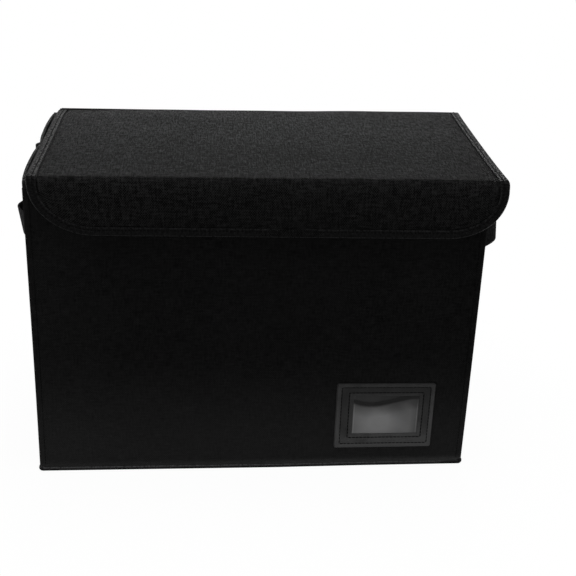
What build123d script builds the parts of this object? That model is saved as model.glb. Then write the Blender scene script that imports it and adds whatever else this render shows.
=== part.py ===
from build123d import *
import os

# A storage box for comics: cloth over board, with a flapped lid and walls that fold flat.
# The origin is the middle of the footprint on the floor. X runs left to right, -Y is the front.
os.makedirs("parts", exist_ok=True)

# Outside size of the closed box
length = 400.0  # left to right over the walls
depth = 215.0  # front to back over the walls
height = 290.0  # floor to the top of the lid

# Layers of a panel, from the outside in
cover_t = 0.8
board_t = 3.4
lining_t = 0.8
edge_t = 0.8  # cloth or tape round the edge of a board
tape_width = 9.0  # tape seen on the face of a taped edge
wall_t = cover_t + board_t + lining_t

# Running clearances
lid_gap = 0.5  # rims of the walls to the underside of the lid
fold_gap = 0.4  # end of a side wall to the wall beside it
crease_gap = 0.3  # half wall to the plane of the crease
floor_gap = 0.3  # moving walls to the base board, and the base board to the cloth under it
pad_gap = 0.6  # hook pads to loop pads

# Bottom cloth, its bound seam and the loose base board
bottom_cloth_t = 1.2
binding_top = 5.4
binding_proud = 0.8  # the seam stands this far out of the walls
base_cover_t = 0.5
base_board_t = 3.5
base_side_gap = 2.0
base_front_gap = 2.0
base_hinge_gap = 0.3  # lifted base board to the back wall
base_rear_gap = 0.4  # end of the base board to its hinge line

# Lid and flap
lid_overhang = 4.5  # past each side wall, before its shift
lid_shift = 8.0  # the lid is sewn on this far to the right
flap_drop = 53.0  # top of the lid to the lower edge of the flap
flap_board_t = 2.4
flap_corner_x = 52.0
flap_corner_z = 44.0
flap_top_gap = 0.4
hinge_cloth_t = 0.6
hinge_cloth_drop = 22.0
hinge_cloth_inset = 4.0

# Hook and loop pads that hold the flap
pad_width = 70.0
pad_height = 22.0
pad_t = 1.4
pad_x = 110.0
pad_rise = 8.0  # lower edge of a pad above the lower edge of the flap

# Label holder, low on the front wall
label_margin = 31.5  # right edge of the holder to the right edge of the wall
label_z = 55.2
label_width = 93.0
label_height = 69.0
label_t = 1.6
label_corner = 3.0
window_width = 62.0
window_height = 41.0
window_x = 1.0  # the window sits this far right of the middle of the frame
window_z = 0.9
film_t = 0.4
film_lap = 3.0  # film held under the frame

# Webbing handle on each side wall
strap_width = 26.0
strap_t = 1.6
strap_z = 211.0
left_bulge = 20.0  # inside of the left loop to the wall
right_bulge = 30.0  # the right loop stands out further
strap_end = 60.0  # the sewn ends reach this far from the crease
strap_root = 44.0  # where the loop leaves its sewn end
strap_ramp = 50.0
root_height = 4.0
strap_gap = 0.3

# Places worked out from the sizes
half_length = length / 2
half_depth = depth / 2
lid_t = wall_t
lid_under = height - lid_t
rim_z = lid_under - lid_gap
base_under = bottom_cloth_t + floor_gap
base_top = base_under + base_board_t + base_cover_t
wall_foot = base_top + floor_gap
base_t = base_cover_t + base_board_t
side_end = half_depth - wall_t - fold_gap
flap_t = cover_t + flap_board_t + lining_t
flap_inner = half_depth + 2 * pad_t + pad_gap
flap_outer = flap_inner + flap_t
flap_low = height - flap_drop
flap_top = lid_under - flap_top_gap
lid_half = half_length + lid_overhang
pad_z = flap_low + pad_rise + pad_height / 2
label_x = half_length - label_margin - label_width / 2

# Outer faces of the walls, each with its local x to the right as seen from outside and y up
front_plane = Plane(origin=(0, -half_depth, 0), x_dir=(1, 0, 0), z_dir=(0, -1, 0))
back_plane = Plane(origin=(0, half_depth, 0), x_dir=(-1, 0, 0), z_dir=(0, 1, 0))
left_plane = Plane(origin=(-half_length, 0, 0), x_dir=(0, -1, 0), z_dir=(-1, 0, 0))
right_plane = Plane(origin=(half_length, 0, 0), x_dir=(0, 1, 0), z_dir=(1, 0, 0))
lid_plane = Plane(origin=(lid_shift, 0, height), x_dir=(1, 0, 0), z_dir=(0, 0, 1))
flap_plane = Plane(origin=(lid_shift, -flap_outer, 0), x_dir=(1, 0, 0), z_dir=(0, -1, 0))


# A wall's outline from x = low to x = high, with its taped edge at the rim
def wall_outline(low, high, foot):
    def outline(plane, free_inset, taped_inset):
        with BuildSketch(plane) as sketch:
            with Locations((low + free_inset, foot + free_inset)):
                Rectangle(
                    high - low - 2 * free_inset,
                    rim_z - foot - free_inset - taped_inset,
                    align=(Align.MIN, Align.MIN),
                )
        return sketch.sketch

    return outline


# The lid's outline, taped at its left and right edges
def lid_outline(plane, free_inset, taped_inset):
    with BuildSketch(plane) as sketch:
        with Locations((0, -flap_outer + free_inset)):
            Rectangle(
                2 * (lid_half - taped_inset),
                flap_outer + half_depth - 2 * free_inset,
                align=(Align.CENTER, Align.MIN),
            )
    return sketch.sketch


# The flap's outline, taped all round but at its top, with a quarter ellipse at each lower corner
def flap_outline(plane, free_inset, taped_inset):
    half = lid_half - taped_inset
    low = flap_low + taped_inset
    high = flap_top - free_inset
    radius_x = flap_corner_x - taped_inset
    radius_z = flap_corner_z - taped_inset
    with BuildSketch(plane) as sketch:
        with BuildLine():
            Line((half, high), (-half, high))
            Line((-half, high), (-half, low + radius_z))
            EllipticalCenterArc((-half + radius_x, low + radius_z), radius_x, radius_z, 180, arc_size=90)
            Line((-half + radius_x, low), (half - radius_x, low))
            EllipticalCenterArc((half - radius_x, low + radius_z), radius_x, radius_z, 270, arc_size=90)
            Line((half, low + radius_z), (half, high))
        make_face()
    return sketch.sketch


# A stiff panel: a board in an outer cloth that turns over its edges, a lining and an edge tape
def make_panel(name, plane, outline, board, tape):
    inner = cover_t + board
    total = inner + lining_t
    with BuildPart() as cover:
        extrude(outline(plane.offset(-inner), 0, tape_width), amount=inner)
        extrude(outline(plane.offset(-inner), edge_t, edge_t), amount=board, mode=Mode.SUBTRACT)
    cover.part.label = f"{name}_cover"
    export_step(cover.part, f"parts/{name}_cover.step")

    with BuildPart() as stiffener:
        extrude(outline(plane.offset(-inner), edge_t, edge_t), amount=board)
    stiffener.part.label = f"{name}_board"
    export_step(stiffener.part, f"parts/{name}_board.step")

    with BuildPart() as lining:
        extrude(outline(plane.offset(-total), 0, tape_width), amount=lining_t)
    lining.part.label = f"{name}_lining"
    export_step(lining.part, f"parts/{name}_lining.step")

    with BuildPart() as edging:
        extrude(outline(plane.offset(-total), 0, 0), amount=total)
        extrude(outline(plane.offset(-total), 0, tape_width), amount=total, mode=Mode.SUBTRACT)
        extrude(outline(plane.offset(-inner), edge_t, edge_t), amount=board, mode=Mode.SUBTRACT)
    edging.part.label = f"{name}_{tape}"
    export_step(edging.part, f"parts/{name}_{tape}.step")


# Walls: the back stands on the bottom seam, the others clear the base board as they fold
make_panel("back", back_plane, wall_outline(-half_length, half_length, binding_top), board_t, "rim_tape")
make_panel("front", front_plane, wall_outline(-half_length, half_length, wall_foot), board_t, "rim_tape")

# Each side wall is two halves that meet at a crease in the middle of the depth
rear_of_left = wall_outline(-side_end, -crease_gap, wall_foot)
front_of_left = wall_outline(crease_gap, side_end, wall_foot)
make_panel("left_rear", left_plane, rear_of_left, board_t, "rim_tape")
make_panel("left_front", left_plane, front_of_left, board_t, "rim_tape")
make_panel("right_rear", right_plane, front_of_left, board_t, "rim_tape")
make_panel("right_front", right_plane, rear_of_left, board_t, "rim_tape")

# Lid and flap
make_panel("lid", lid_plane, lid_outline, board_t, "edge_tape")
make_panel("flap", flap_plane, flap_outline, flap_board_t, "edge_tape")

# Cloth strip that carries the lid, sewn to the outside of the back wall
with BuildPart() as lid_hinge_cloth:
    with BuildSketch(back_plane):
        with Locations((0, rim_z)):
            Rectangle(
                length - 2 * hinge_cloth_inset,
                hinge_cloth_drop,
                align=(Align.CENTER, Align.MAX),
            )
    extrude(amount=hinge_cloth_t)
lid_hinge_cloth.part.label = "lid_hinge_cloth"
export_step(lid_hinge_cloth.part, "parts/lid_hinge_cloth.step")

# Bottom cloth, which is what the box stands on
seam_length = length + 2 * binding_proud
seam_depth = depth + 2 * binding_proud
with BuildPart() as bottom_cover:
    with BuildSketch(Plane.XY):
        Rectangle(seam_length, seam_depth)
    extrude(amount=bottom_cloth_t)
bottom_cover.part.label = "bottom_cover"
export_step(bottom_cover.part, "parts/bottom_cover.step")

# Bound seam round the bottom, under the walls
with BuildPart() as bottom_binding:
    with BuildSketch(Plane.XY.offset(bottom_cloth_t)):
        Rectangle(seam_length, seam_depth)
        Rectangle(length - 2 * wall_t, depth - 2 * wall_t, mode=Mode.SUBTRACT)
    extrude(amount=binding_top - bottom_cloth_t)
bottom_binding.part.label = "bottom_binding"
export_step(bottom_binding.part, "parts/bottom_binding.step")

# Base board, which lies on the bottom cloth and lifts up against the back wall to fold the box
base_length = length - 2 * wall_t - 2 * base_side_gap
base_front = -half_depth + wall_t + base_front_gap
base_hinge_y = half_depth - wall_t - base_hinge_gap
base_rear = base_hinge_y - base_rear_gap
with BuildPart() as base_cover:
    with BuildSketch(Plane.XY.offset(base_under)):
        with Locations((0, base_front)):
            Rectangle(base_length, base_rear - base_front, align=(Align.CENTER, Align.MIN))
    extrude(amount=base_t)
    with BuildSketch(Plane.XY.offset(base_under)):
        with Locations((0, base_front + base_cover_t)):
            Rectangle(
                base_length - 2 * base_cover_t,
                base_rear - base_front - 2 * base_cover_t,
                align=(Align.CENTER, Align.MIN),
            )
    extrude(amount=base_board_t, mode=Mode.SUBTRACT)
base_cover.part.label = "base_cover"
export_step(base_cover.part, "parts/base_cover.step")

with BuildPart() as base_board:
    with BuildSketch(Plane.XY.offset(base_under)):
        with Locations((0, base_front + base_cover_t)):
            Rectangle(
                base_length - 2 * base_cover_t,
                base_rear - base_front - 2 * base_cover_t,
                align=(Align.CENTER, Align.MIN),
            )
    extrude(amount=base_board_t)
base_board.part.label = "base_board"
export_step(base_board.part, "parts/base_board.step")

# Loop pads on the front wall and hook pads on the flap, which meet when the lid is shut
with BuildPart() as loop_pads:
    with BuildSketch(front_plane):
        with Locations((-pad_x, pad_z), (pad_x, pad_z)):
            Rectangle(pad_width, pad_height)
    extrude(amount=pad_t)
loop_pads.part.label = "loop_pads"
export_step(loop_pads.part, "parts/loop_pads.step")

with BuildPart() as hook_pads:
    with BuildSketch(front_plane.offset(pad_t + pad_gap)):
        with Locations((-pad_x, pad_z), (pad_x, pad_z)):
            Rectangle(pad_width, pad_height)
    extrude(amount=pad_t)
hook_pads.part.label = "hook_pads"
export_step(hook_pads.part, "parts/hook_pads.step")

# Label holder: a soft frame sewn over a clear film, open to a card from above
with BuildPart() as label_frame:
    with BuildSketch(front_plane):
        with Locations((label_x, label_z)):
            RectangleRounded(label_width, label_height, label_corner)
        with Locations((label_x + window_x, label_z + window_z)):
            Rectangle(window_width, window_height, mode=Mode.SUBTRACT)
    extrude(amount=label_t)
    with BuildSketch(front_plane):
        with Locations((label_x + window_x, label_z + window_z)):
            Rectangle(window_width + 2 * film_lap, window_height + 2 * film_lap)
    extrude(amount=film_t, mode=Mode.SUBTRACT)
label_frame.part.label = "label_frame"
export_step(label_frame.part, "parts/label_frame.step")

with BuildPart() as label_window:
    with BuildSketch(front_plane):
        with Locations((label_x + window_x, label_z + window_z)):
            Rectangle(window_width + 2 * film_lap, window_height + 2 * film_lap)
    extrude(amount=film_t)
label_window.part.label = "label_window"
export_step(label_window.part, "parts/label_window.step")


# Webbing handle: a free loop between two sewn ends, seen from above and as tall as the webbing
def make_handle(side, sign, bulge):
    top_view = Plane(
        origin=(sign * half_length, 0, strap_z - strap_width / 2),
        x_dir=(sign, 0, 0),
        z_dir=(0, 0, 1),
    )
    loop_end = strap_root - strap_gap
    with BuildPart() as loop:
        with BuildSketch(top_view):
            with BuildLine():
                ThreePointArc((root_height, -loop_end), (bulge + strap_t, 0), (root_height, loop_end))
                Line((root_height, loop_end), (root_height - strap_t, loop_end))
                ThreePointArc((root_height - strap_t, loop_end), (bulge, 0), (root_height - strap_t, -loop_end))
                Line((root_height - strap_t, -loop_end), (root_height, -loop_end))
            make_face()
        extrude(amount=strap_width)
    loop.part.label = f"{side}_handle_loop"
    export_step(loop.part, f"parts/{side}_handle_loop.step")

    # The plane's own y runs to the front on the left side and to the back on the right side
    for place, way in (("rear", sign), ("front", -sign)):
        with BuildPart() as sewn_end:
            with BuildSketch(top_view):
                with BuildLine():
                    Polyline(
                        (0, way * strap_root),
                        (root_height, way * strap_root),
                        (strap_t, way * strap_ramp),
                        (strap_t, way * strap_end),
                        (0, way * strap_end),
                        close=True,
                    )
                make_face()
            extrude(amount=strap_width)
        sewn_end.part.label = f"{side}_handle_{place}_end"
        export_step(sewn_end.part, f"parts/{side}_handle_{place}_end.step")


make_handle("left", -1, left_bulge)
make_handle("right", 1, right_bulge)
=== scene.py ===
import math
import bmesh
import bpy
import numpy as np
from mathutils import Matrix, Vector


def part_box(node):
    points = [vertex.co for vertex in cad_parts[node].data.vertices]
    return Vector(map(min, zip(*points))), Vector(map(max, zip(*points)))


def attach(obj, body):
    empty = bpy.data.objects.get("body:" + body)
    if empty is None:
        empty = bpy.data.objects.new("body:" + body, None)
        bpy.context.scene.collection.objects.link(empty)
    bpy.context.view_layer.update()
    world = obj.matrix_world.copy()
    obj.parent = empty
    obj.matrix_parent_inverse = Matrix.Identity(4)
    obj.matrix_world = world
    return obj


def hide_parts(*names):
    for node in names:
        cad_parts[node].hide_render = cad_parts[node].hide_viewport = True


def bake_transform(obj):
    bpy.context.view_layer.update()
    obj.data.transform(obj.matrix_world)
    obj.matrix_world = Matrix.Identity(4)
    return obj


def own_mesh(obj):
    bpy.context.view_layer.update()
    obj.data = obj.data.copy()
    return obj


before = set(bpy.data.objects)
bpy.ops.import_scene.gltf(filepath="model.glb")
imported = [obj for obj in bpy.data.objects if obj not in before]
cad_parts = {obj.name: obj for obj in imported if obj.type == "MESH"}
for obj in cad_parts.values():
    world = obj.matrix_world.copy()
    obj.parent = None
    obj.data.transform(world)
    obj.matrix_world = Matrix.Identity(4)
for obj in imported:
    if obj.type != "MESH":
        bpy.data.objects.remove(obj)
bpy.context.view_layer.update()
mm = 0.001
axisX, axisY, axisZ = np.eye(3)
lying = (axisX, axisZ, axisY)
quarter = math.pi / 2
sides = (("left", -1), ("right", 1))
print("frame loaded")

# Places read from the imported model, in metres
frontLow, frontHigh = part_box("front_cover")
rimLow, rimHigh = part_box("front_rim_tape")
lidLow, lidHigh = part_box("lid_edge_tape")
flapLow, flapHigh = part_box("flap_edge_tape")
baseLow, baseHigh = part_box("base_cover")
sideLow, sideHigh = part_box("left_rear_cover")
halfX, halfY = frontHigh.x, -frontLow.y
wallFoot, rimZ = frontLow.z, rimHigh.z
wallT = rimHigh.y - rimLow.y
tapeWidth = rimHigh.z - rimLow.z
lidTop = lidHigh.z
lidT = lidHigh.z - lidLow.z
lidMid = (lidLow.x + lidHigh.x) / 2
lidHalf = (lidHigh.x - lidLow.x) / 2
flapFace, flapFoot = flapLow.y, flapLow.z
flapT = flapHigh.y - flapLow.y


# Shapes: every piece is a grid of points, rows by columns, worked out as whole arrays

def clamped(values):
    return np.clip(values, 0, 1)


# Smooth step from 0 to 1: a share squared times three less twice the share
def smooth(share):
    return share**2 * (3 - 2 * share)


# Bell curve: 1 at nought, and e to the power of -1 at its reach
def bell(distance, reach):
    return np.exp(-((distance / reach) ** 2))


# Points from x, y and z, each a number or an array
def xyz(x, y, z):
    return np.stack(np.broadcast_arrays(x, y, z), -1).astype(float)


# Table of a line made of stretches: each value of a stretch is a number or an array
def joined(stretches):
    return np.concatenate([np.column_stack(np.broadcast_arrays(*stretch)) for stretch in stretches])


def unit(vectors):
    return vectors / np.linalg.norm(vectors, axis=-1, keepdims=True)


# Lengths along the rows and columns of a grid, so that a weave keeps its real size
def gridLengths(points, wrap):
    closed = np.concatenate([points, points[:, :1]], 1) if wrap else points
    across = np.linalg.norm(np.diff(closed, axis=1), axis=2)
    u = np.concatenate([np.zeros((len(points), 1)), np.cumsum(across, 1)], 1)
    along = np.linalg.norm(np.diff(closed, axis=0), axis=2)
    v = np.concatenate([[0], np.cumsum(along.mean(1))])
    return np.stack(np.broadcast_arrays(u - u[:, -1:] / 2, v[:, None]), 2)


# Corner numbers of the quads of a grid, and the place of each corner in the grid of lengths
def gridQuads(rows, columns, wrap):
    last = columns if wrap else columns - 1
    i, j = (grid.ravel() for grid in np.meshgrid(np.arange(rows - 1), np.arange(last), indexing="ij"))
    nextJ = (j + 1) % columns
    near, far = i * columns, (i + 1) * columns
    quads = np.stack([near + j, near + nextJ, far + nextJ, far + j], 1)
    start = i * (last + 1) + j
    return quads, np.stack([start, start + 1, start + last + 2, start + last + 1], 1)


footLean = {
    "across": ([-0.2, 0.02, 0.1, 0.2], [4.8 * mm, 2.3 * mm, 0.1 * mm, -1.8 * mm]),
    "height": 150 * mm,
    "depth": 50 * mm,
}


# The foot of the front leans forward at the left and back at the right: the product of a bent line across,
# a square down and a smooth step in depth
def leaned(points):
    across = np.interp(points[:, 0], *footLean["across"])
    down = clamped(1 - points[:, 2] / footLean["height"]) ** 2
    near = clamped((footLean["depth"] - halfY - points[:, 1]) / footLean["depth"])
    return points - (across * down * smooth(near))[:, None] * axisY


def makeObject(name, points, faces, cornerUv, sharpAngle=40):
    mesh = bpy.data.meshes.new(name)
    mesh.from_pydata(leaned(points).tolist(), [], faces)
    layer = mesh.uv_layers.new(name="clothUv")
    layer.data.foreach_set("uv", np.asarray(cornerUv, np.float32).ravel())
    obj = bpy.data.objects.new(name, mesh)
    bpy.context.scene.collection.objects.link(obj)
    work = bmesh.new()
    work.from_mesh(mesh)
    bmesh.ops.recalc_face_normals(work, faces=work.faces)
    work.to_mesh(mesh)
    work.free()
    mesh.shade_smooth()
    mesh.set_sharp_from_angle(angle=math.radians(sharpAngle))
    return obj


# A closed tube of any section: a ring of points for each row, with a flat cap at both ends
def ringLoft(name, rings, loop=False, sharpAngle=40):
    rows, columns = rings.shape[:2]
    if loop:
        rings = np.concatenate([rings, rings[:1]], 0)
    lengths = gridLengths(rings, True)
    quads, spots = gridQuads(len(rings), columns, True)
    uv = lengths.reshape(-1, 2)[spots].reshape(-1, 2)
    faces = (quads % (rows * columns)).tolist()
    if not loop:
        for ring, order in ((0, slice(None, None, -1)), (rows - 1, slice(None))):
            faces.append((np.arange(columns)[order] + ring * columns).tolist())
            uv = np.concatenate([uv, lengths[ring, :columns][order]])
    return makeObject(name, rings[:rows].reshape(-1, 3), faces, uv, sharpAngle)


# A thin sheet with an outer and an inner face, joined round the edge
def sheetShell(name, outer, inner, sharpAngle=40):
    rows, columns = outer.shape[:2]
    count = rows * columns
    quads, spots = gridQuads(rows, columns, False)
    lengths = gridLengths(outer, False).reshape(-1, 2)
    index = np.arange(count).reshape(rows, columns)
    edge = np.concatenate([index[0, :-1], index[:-1, -1], index[-1, :0:-1], index[:0:-1, 0]])
    after = np.roll(edge, -1)
    strip = np.stack([edge, edge + count, after + count, after], 1)
    stripUv = lengths[np.stack([edge, edge, after, after], 1)]
    faces = quads.tolist() + (quads[:, ::-1] + count).tolist() + strip.tolist()
    uv = np.concatenate([lengths[spots], lengths[spots[:, ::-1]], stripUv]).reshape(-1, 2)
    points = np.concatenate([outer.reshape(-1, 3), inner.reshape(-1, 3)])
    return makeObject(name, points, faces, uv, sharpAngle)


# A ring round a rounded rectangle: each point is a share of the half sizes plus a turn of the corner
def ringShares(longCount, shortCount, cornerCount=4):
    turn = np.linspace(0, quarter, cornerCount + 1)
    parts = []
    corners = ((1, 1), (-1, 1), (-1, -1), (1, -1))
    for number, corner in enumerate(corners):
        angle = turn + number * quarter
        parts.append(joined([(*corner, np.cos(angle), np.sin(angle))]))
        steps = (longCount, shortCount)[number % 2]
        share = np.linspace(1, -1, steps + 2)[1:-1, None]
        middle = np.array(corner) * (share + 1) / 2 + np.array(corners[(number + 1) % 4]) * (1 - share) / 2
        parts.append(joined([(*middle.T, round(math.cos(angle[-1])), round(math.sin(angle[-1])))]))
    return np.concatenate(parts)


# Levels from low to high with extra ones near both ends, where an edge is rounded
def levelsWithEdges(low, high, edge, count):
    start = low + edge * (1 - np.cos(np.linspace(0, quarter, 5)))
    middle = np.linspace(low + edge, high - edge, count)[1:-1]
    return np.concatenate([start, middle, (low + high - start)[::-1]])


# Rounded slab: rings of a rounded rectangle in two directions, stacked along the third
def slab(directions, ranges, edge, count, longCount):
    levels = levelsWithEdges(*ranges[2], edge, count)
    shares = ringShares(longCount, 1).T
    near = np.minimum(levels - levels[0], levels[-1] - levels)
    inset = edge - np.sqrt(np.clip(edge**2 - np.clip(edge - near, 0, None) ** 2, 0, None))
    corner = np.maximum(edge - inset, edge * 0.3)
    points = levels[:, None, None] * directions[2]
    for direction, (low, high), side, turn in zip(directions, ranges, shares[:2], shares[2:]):
        straight = (high - low) / 2 - inset - corner
        place = (low + high) / 2 + np.outer(straight, side) + np.outer(corner, turn)
        points = points + place[..., None] * direction
    return points


# Slow unevenness of cloth: three sine waves of unlike length in each direction, about -1 to 1
def ripple(a, b, seed):
    return (
        np.sin(a * 31 + seed) * np.cos(b * 37 - 2 * seed)
        + 0.6 * np.sin(a * 67 - b * 41 + 3 * seed)
        + 0.4 * np.cos(b * 89 + a * 23 + 5 * seed)
    ) / 2


# A profile in (inward, deep) carried along a path of points with their inward and depth directions
def carried(name, path, inward, deep, profile, loop=False):
    inward, deep = (np.broadcast_to(way, path.shape)[:, None] for way in (inward, deep))
    profile = np.broadcast_to(profile, (len(path), *np.shape(profile)[-2:]))
    rings = path[:, None] + profile[..., :1] * inward + profile[..., 1:] * deep
    return ringLoft(name, rings, loop, 50)


# Places at even steps along a path, with the directions that go with them
def evenSteps(path, step, *directions):
    reach = np.concatenate([[0], np.cumsum(np.linalg.norm(np.diff(path, axis=0), axis=1))])
    places = np.arange(step / 2, reach[-1], step)
    pick = lambda values: np.stack([np.interp(places, reach, values[:, k]) for k in range(3)], 1)
    return [pick(path)] + [unit(pick(direction)) for direction in directions]


# A row of stitches: short six-sided threads with drawn-in ends that dip into the cloth
def stitchRow(name, path, outward, step=3.2 * mm, length=2.4 * mm, thick=0.55 * mm):
    outward = np.broadcast_to(outward, path.shape)
    spots, facing, ahead = evenSteps(path, step, outward, unit(np.gradient(path, axis=0)))
    across = unit(np.cross(ahead, facing))
    # Stations along a thread: place in shares of its length, then size and lift in shares of its thickness
    stations = [(-0.5, 0.35, -0.7), (-0.32, 0.85, 0.1), (0, 1, 0.35), (0.32, 0.85, 0.1), (0.5, 0.35, -0.7)]
    place, size, lift = np.array(stations).T[..., None]
    turn = np.linspace(0, 2 * math.pi, 6, endpoint=False)
    along = (place * length + 0 * turn).ravel()
    side = (size * np.cos(turn)).ravel() * thick / 2
    high = (size * np.sin(turn) * 0.7 + lift).ravel() * thick / 2
    points = spots[:, None]
    for part, way in ((along, ahead), (side, across), (high, facing)):
        points = points + part[:, None] * way[:, None]
    quads, _ = gridQuads(5, 6, True)
    start = (np.arange(len(spots)) * 30)[:, None, None]
    faces = (quads[None] + start).reshape(-1, 4).tolist()
    caps = np.stack([np.arange(6)[::-1], np.arange(24, 30)])
    faces += (caps[None] + start).reshape(-1, 6).tolist()
    uv = np.zeros((len(spots) * (len(quads) * 4 + 12), 2))
    return makeObject(name, points.reshape(-1, 3), faces, uv, 60)


# Materials

# Output of a node. A sum, difference or product of outputs adds a math node
class Wire:
    def __init__(self, socket):
        self.socket = socket

    def output(self, key):
        return Wire(self.socket.node.outputs[key])

    def math(self, operation, other=0.0):
        return addNode(self.socket.id_data, "Math", {0: self, 1: other}, operation=operation)

    def __add__(self, other):
        return self.math("ADD", other)

    def __sub__(self, other):
        return self.math("SUBTRACT", other)

    def __mul__(self, other):
        return self.math("MULTIPLY", other)


# Fills sockets of a node: a value is a number, a colour or another node's output
def fill(node, values):
    for key, value in values.items():
        if isinstance(value, Wire):
            node.id_data.links.new(value.socket, node.inputs[key])
        else:
            node.inputs[key].default_value = value


def addNode(tree, kind, values=(), **settings):
    node = tree.nodes.new("ShaderNode" + kind)
    for key, value in settings.items():
        setattr(node, key, value)
    fill(node, dict(values))
    return Wire(node.outputs[0])


def newMaterial(name, sockets):
    material = bpy.data.materials.new(name)
    material.use_nodes = True
    shader = material.node_tree.nodes["Principled BSDF"]
    fill(shader, sockets)
    return material.node_tree, shader


def coords(tree, kind):
    return addNode(tree, "TexCoord").output(kind)


def noise(tree, place, scale, detail):
    return addNode(tree, "TexNoise", {"Vector": place, "Scale": scale, "Detail": detail})


def dots(tree, place, scale, **settings):
    return addNode(tree, "TexVoronoi", {"Vector": place, "Scale": scale}, **settings)


# Maps a value from one range to another, straight unless the settings name a smooth step
def mapped(tree, value, ranges, **settings):
    return addNode(tree, "MapRange", {"Value": value, **ranges}, **settings)


# Colours at places along a factor: each colour is a grey or a triple
def ramp(tree, factor, *stops):
    wire = addNode(tree, "ValToRGB", {"Fac": factor})
    elements = wire.socket.node.color_ramp.elements
    while len(elements) < len(stops):
        elements.new(0.5)
    for element, (place, colour) in zip(elements, stops):
        element.position = place
        element.color = (*np.broadcast_to(colour, 3), 1)
    return wire


def bump(tree, height, distance, strength):
    return addNode(tree, "Bump", {"Height": height, "Distance": distance, "Strength": strength})


# Plain weave: the product of two sines is high where the warp passes over and low where it goes under
def weaveOf(tree, uv, pitch):
    wander = noise(tree, uv, 130.0, 2.0).output(1)
    moved = addNode(tree, "VectorMath", {0: wander, 1: (0.5, 0.5, 0.5)}, operation="SUBTRACT")
    small = addNode(tree, "VectorMath", {0: moved, "Scale": pitch * 0.9}, operation="SCALE")
    placed = addNode(tree, "VectorMath", {0: uv, 1: small}, operation="ADD")
    part = addNode(tree, "SeparateXYZ", {0: placed})
    sineU, sineV = [(part.output(axis) * (math.pi / pitch)).math("SINE") for axis in (0, 1)]
    return sineU * sineV, sineU.math("ABSOLUTE") * sineV.math("ABSOLUTE")


# Value that paint() has written at each point of a piece: painted light and shade, so a surface is lighter
# where the value is higher
def paintedLightOf(tree):
    return addNode(tree, "Attribute", attribute_name="wear").output("Fac")


def paint(obj, values):
    values = np.broadcast_to(values, np.shape(values) or len(obj.data.vertices))
    wear = obj.data.attributes.new("wear", "FLOAT", "POINT")
    wear.data.foreach_set("value", values.ravel().astype(np.float32))


clothLooks = {
    "linenCloth": {
        "pitch": 1.0 * mm, "dark": 0.0006, "light": 0.0122, "grain": 0.62, "weave": 0.5, "lint": 0.0,
        "worn": True, "matt": 0.98, "glossy": 0.5, "specular": 0.034, "sheen": 0.0, "depth": 1.0 * mm,
    },
    "wallCloth": {
        "pitch": 1.0 * mm, "dark": 0.0006, "light": 0.0098, "grain": 0.34, "weave": 0.26, "lint": 0.75,
        "worn": False, "matt": 0.95, "glossy": 0.8, "specular": 0.02, "sheen": 0.01, "depth": 0.3 * mm,
    },
    "innerCloth": {
        "pitch": 0.7 * mm, "dark": 0.004, "light": 0.018, "grain": 0.3, "weave": 0.26, "lint": 0.0,
        "worn": False, "matt": 0.95, "glossy": 0.85, "specular": 0.03, "sheen": 0.03, "depth": 0.15 * mm,
    },
}
yarnStretch = (110, 620)


def makeCloth(name):
    look = clothLooks[name]
    tree, shader = newMaterial(name, {
        "Sheen Weight": look["sheen"],
        "Sheen Roughness": 0.45,
        "Sheen Tint": (0.6, 0.6, 0.62, 1),
        "Specular IOR Level": look["specular"],
    })
    uv = coords(tree, "UV")
    cross, threads = weaveOf(tree, uv, look["pitch"])
    # Uneven yarn: a noise drawn out along the warp and one along the weft
    warp, weft = [
        noise(tree, addNode(tree, "Mapping", {"Vector": uv, "Scale": (*scale, 1)}), 1.0, 2.0)
        for scale in (yarnStretch, yarnStretch[::-1])
    ]
    yarn = warp + weft
    slub = noise(tree, uv, 520.0, 1.0)
    cloud = noise(tree, uv, 24.0, 2.0)
    grain = look["grain"]
    tone = (yarn - 1.0) * (2.1 * grain) + (slub - 0.5) * (1.1 * grain)
    tone = tone + cross * look["weave"] + threads * 0.3 + (cloud * 0.2 + 0.12)
    # Painted light and shade: the tone is scaled by the painted-light value of each point
    if look["worn"]:
        tone = tone * paintedLightOf(tree)
    dark, light = look["dark"], look["light"]
    if look["lint"]:
        # Painted light: paler towards the floor, standing in for light that the floor throws up, a little
        # paler at the left end, where more light falls, and on a fuller band right above the floor that is
        # strongest at the right
        place = addNode(tree, "SeparateXYZ", {0: coords(tree, "Object")})
        smoothly = {"interpolation_type": "SMOOTHSTEP"}
        near = mapped(tree, place.output(2), {1: 130 * mm, 2: 0.0, 4: look["lint"]}, **smoothly)
        left = mapped(tree, place, {1: -0.1, 2: -0.2, 4: 0.13}, **smoothly)
        tone = tone + (near + left)
        most = 1 + look["lint"]
        colour = ramp(tree, tone.math("DIVIDE", most), (0.0, dark), (1 / most, light), (1.0, light * most))
        foot = mapped(tree, place.output(2), {1: 11 * mm, 2: 4 * mm}, **smoothly)
        across = mapped(tree, place, {1: -0.16, 2: 0.2, 3: 0.45, 4: 2.0})
        colour = addNode(tree, "VectorMath", {0: colour, "Scale": foot * across + 1.0}, operation="SCALE")
    else:
        colour = ramp(tree, tone, (0.0, dark), (1.0, light))
    fill(shader, {
        "Base Color": colour,
        "Roughness": mapped(tree, tone, {3: look["matt"], 4: look["glossy"]}),
        "Normal": bump(tree, cross * 0.4 + threads * 0.4 + yarn * 0.6, look["depth"], 1.0),
    })


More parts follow.
